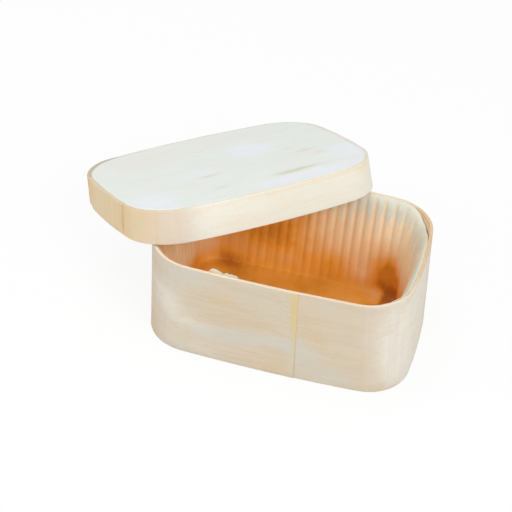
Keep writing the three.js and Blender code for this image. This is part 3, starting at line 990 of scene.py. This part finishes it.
crown_length = BOX_LENGTH / 2 + LID_END_CLEARANCE + LID_VENEER
crown_width = BOX_WIDTH / 2 + LID_SIDE_CLEARANCE + LID_VENEER
lid_corner = RIM_CORNER + LID_END_CLEARANCE + LID_VENEER
crown_plan = plan_of(0, crown_length, crown_width, lid_corner, LID_SIDE_BOW)
mouth_plan = plan_of(
    FLARE_SHIFT,
    crown_length + FLARE_END,
    crown_width + FLARE_SIDE,
    lid_corner,
    LID_SIDE_BOW,
)
lean_axis = Vector((-math.sin(LID_HEADING), math.cos(LID_HEADING), 0))
lid_place = (
    Matrix.Translation(LID_MIDDLE)
    @ Matrix.Rotation(LID_LEAN, 4, lean_axis)
    @ Matrix.Rotation(LID_TURN, 4, "Z")
)


def make_lid_veneer():
    material, tree = new_material("lid_veneer")
    grain = lay_grain(tree, (63, 27, 0))
    colour = wood_colour(
        tree,
        grain,
        pale=screen(250, 249, 238),
        deep=screen(248, 248, 235),
        green=screen(246, 250, 239),
        ochre=screen(251, 238, 212),
        fibre_tone=screen(239, 228, 204),
        strengths=(0.45, 0.6, 0.6, 0.22),
    )
    colour = tint_stains_and_painted_light(tree, colour, grain, "ochre", screen(250, 230, 196), 0.8)
    from_seam = mark_value(tree, "from_seam")
    tanned = stretch(tree, from_seam, -54.0, -18.0, 70.0, 110.0)
    colour = tint(tree, part_of(tree, tanned, 0.95), colour, screen(231, 209, 171))
    round_corner = stretch(tree, from_seam, -58.0, -38.0, -28.0, -12.0)
    colour = tint(tree, part_of(tree, round_corner, 0.5), colour, screen(220, 204, 190))
    colour = band_bends(tree, colour, tanned, 0.3, screen(232, 196, 146))
    near_seam = near_line(tree, from_seam, 0.0, 9.0, 0.0, 0.25)
    colour = tint(tree, near_seam, colour, screen(236, 198, 146))
    at_tip = stretch(tree, from_seam, 36.0, 50.0, 54.0, 62.0)
    high = between(tree, mark_value(tree, "height_share"), 0.1, 0.9, 0.0, 0.5)
    colour = tint(tree, part_of(tree, at_tip, high), colour, screen(236, 196, 140))
    behind_tip = stretch(tree, from_seam, 50.0, 54.0, 86.0, 95.0)
    colour = tint(tree, part_of(tree, behind_tip, 0.7), colour, screen(160, 128, 96))
    step_line = near_line(tree, from_seam, -0.1, 0.5, 0.1, 0.1)
    colour = tint(tree, step_line, colour, screen(190, 130, 80))
    cut_edge = part_of(tree, mark_value(tree, "cut_edge"), 0.6)
    colour = tint(tree, cut_edge, colour, screen(224, 210, 186))
    finish_wood(tree, colour, grain, 0.0005, 0.72, 0.95)
    return material


bent_lid = bend_strip(
    "bent_lid_band",
    low=mouth_plan,
    high=crown_plan,
    height=SKIRT_HEIGHT,
    veneer=LID_VENEER,
    lap=LID_LAP,
    seed=37,
    stains=LID_STAINS,
    material=make_lid_veneer(),
)
bent_lid.data.transform(lid_place)
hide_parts("lid_band")
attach(bent_lid, "lid")

# Lid board: a thin pale poplar board cut to the plan of the lid and glued inside the top of its
# band, a hair below the band's edge. Its grain runs along the lid.
PANEL_THICKNESS, PANEL_RECESS = 0.0016, 0.0002
# Where the board is stained, in millimetres along and across it from its middle: place, half
# length and half width of the patch, then its strength
LID_BOARD_STAINS = {
    "blue": (
        (21, 14, 13, 12, 1.4),
        (66, -22, 12, 12, 1.3),
        (30, -45, 34, 6, 1.3),
        (-62, -34, 13, 15, 1.1),
        (-22, -8, 16, 9, 0.6),
    ),
    "beige": (
        (-40, 34, 24, 14, 1.2),
        (44, -14, 17, 9, 0.9),
        (14, 40, 32, 9, 0.8),
    ),
    "streaked": (
        (29, -34.3, 17, 2.2, 0.9),
        (22, -36.0, 11, 2.4, 0.5),
        (40, 1, 6, 2.5, 0.45),
        (46, -7, 7, 2.5, 0.6),
        (53, -16, 6, 2.5, 0.5),
        (-18, -13.5, 8, 2.0, 0.8),
        (-20, -34.5, 4, 1.3, 0.9),
        (-5, 29, 2, 2, 0.5),
        (-32, -20, 2, 2, 0.4),
    ),
}


def make_lid_board():
    material, tree = new_material("lid_board")
    grain = lay_grain(tree, (90, 55, 0))
    colour = wood_colour(
        tree,
        grain,
        pale=screen(238, 242, 237),
        deep=screen(234, 237, 231),
        green=screen(232, 241, 236),
        ochre=screen(238, 235, 226),
        fibre_tone=screen(222, 221, 212),
        strengths=(0.4, 0.6, 0.35, 0.15),
    )
    colour = tint_stains_and_painted_light(tree, colour, grain, "beige", screen(239, 236, 230), 0.8)
    colour = tint_stains_and_painted_light(tree, colour, grain, "blue", screen(240, 243, 248), 0.9)
    colour = tint_stains_and_painted_light(tree, colour, grain, "streaked", screen(224, 217, 198), 1.0)
    finish_wood(tree, colour, grain, 0.0004, 0.7, 0.92)
    return material


lid_board = cut_board(
    "glued_lid_board",
    low=mouth_plan,
    high=crown_plan,
    height=SKIRT_HEIGHT,
    veneer=LID_VENEER,
    bottom=SKIRT_HEIGHT - PANEL_RECESS - PANEL_THICKNESS,
    top=SKIRT_HEIGHT - PANEL_RECESS,
    warp=0.00012,
    turn=1.1,
    stains=LID_BOARD_STAINS,
    material=make_lid_board(),
)
lid_board.data.transform(lid_place)
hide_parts("lid_panel")
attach(lid_board, "lid")
